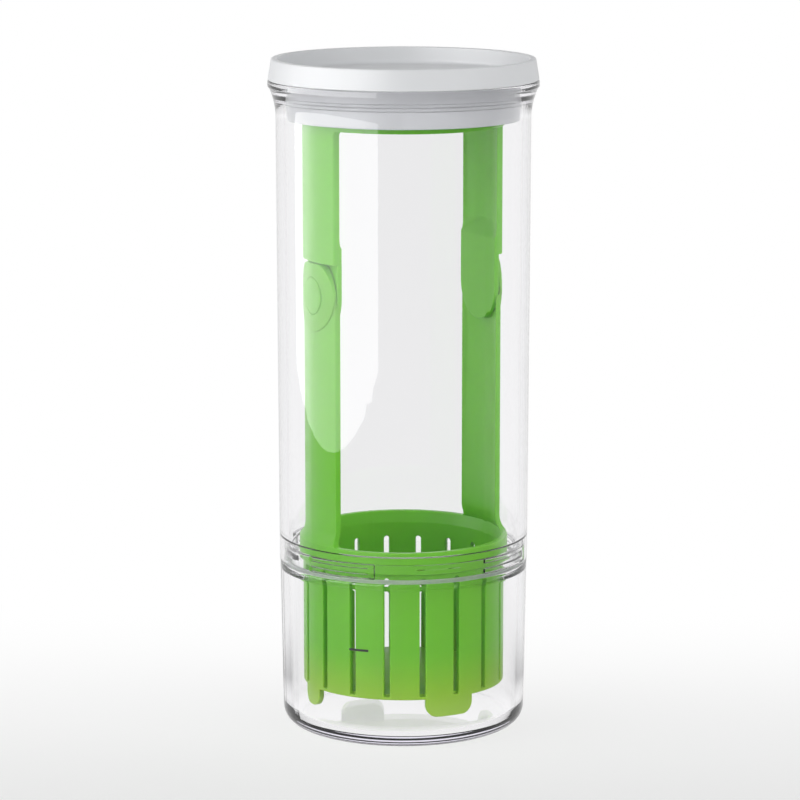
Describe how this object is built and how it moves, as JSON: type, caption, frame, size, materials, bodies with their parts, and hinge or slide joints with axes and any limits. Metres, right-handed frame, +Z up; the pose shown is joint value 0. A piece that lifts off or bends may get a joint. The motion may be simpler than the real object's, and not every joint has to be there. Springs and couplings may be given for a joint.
{
  "type": "herb keeper",
  "caption": "Clear upright herb keeper with a twist-off water cup, a press-in white lid and a hinged green basket with slots.",
  "frame": {"origin": "middle of the water cup's underside, on the tube's axis", "axes": "+Z up along the tube's axis, +X along the basket's pivots and arms"},
  "size_m": [0.108, 0.108, 0.27],
  "materials": {
    "cup_plastic": "clear, polished",
    "tube_plastic": "clear, polished",
    "neck_silicone": "satin silicone",
    "lid_plastic": "satin white",
    "plug_plastic": "satin white",
    "lid_silicone": "satin silicone",
    "hoop_plastic": "satin green",
    "basket_plastic": "satin green"
  },
  "bodies": {
    "cup": {"water_cup": "cup_plastic"},
    "neck_ring": {"neck_seal": "neck_silicone"},
    "tube": {"clear_tube": "tube_plastic"},
    "lid": {"lid_cap": "lid_plastic", "lid_plug": "plug_plastic", "lid_seal": "lid_silicone"},
    "hoop": {"basket_hoop": "hoop_plastic"},
    "basket": {"basket_cup": "basket_plastic"}
  },
  "joints": [
    {"name": "tube_twist", "type": "hinge", "parent": "cup", "child": "neck_ring", "pos_m": [0, 0, 0.0725], "axis": [0, 0, 1], "range_deg": [-45, 0]},
    {"name": "tube_lift", "type": "slide", "parent": "neck_ring", "child": "tube", "axis": [0, 0, 1], "range_m": [0, 0.1]},
    {"name": "lid_lift", "type": "slide", "parent": "tube", "child": "lid", "axis": [0, 0, 1], "range_m": [0, 0.26]},
    {"name": "basket_pull", "type": "slide", "parent": "lid", "child": "hoop", "axis": [0, 0, 1], "range_m": [-0.005, 0]},
    {"name": "basket_pivot", "type": "hinge", "parent": "hoop", "child": "basket", "pos_m": [0, 0, 0.1777], "axis": [1, 0, 0], "range_deg": [-1, 1]}
  ]
}
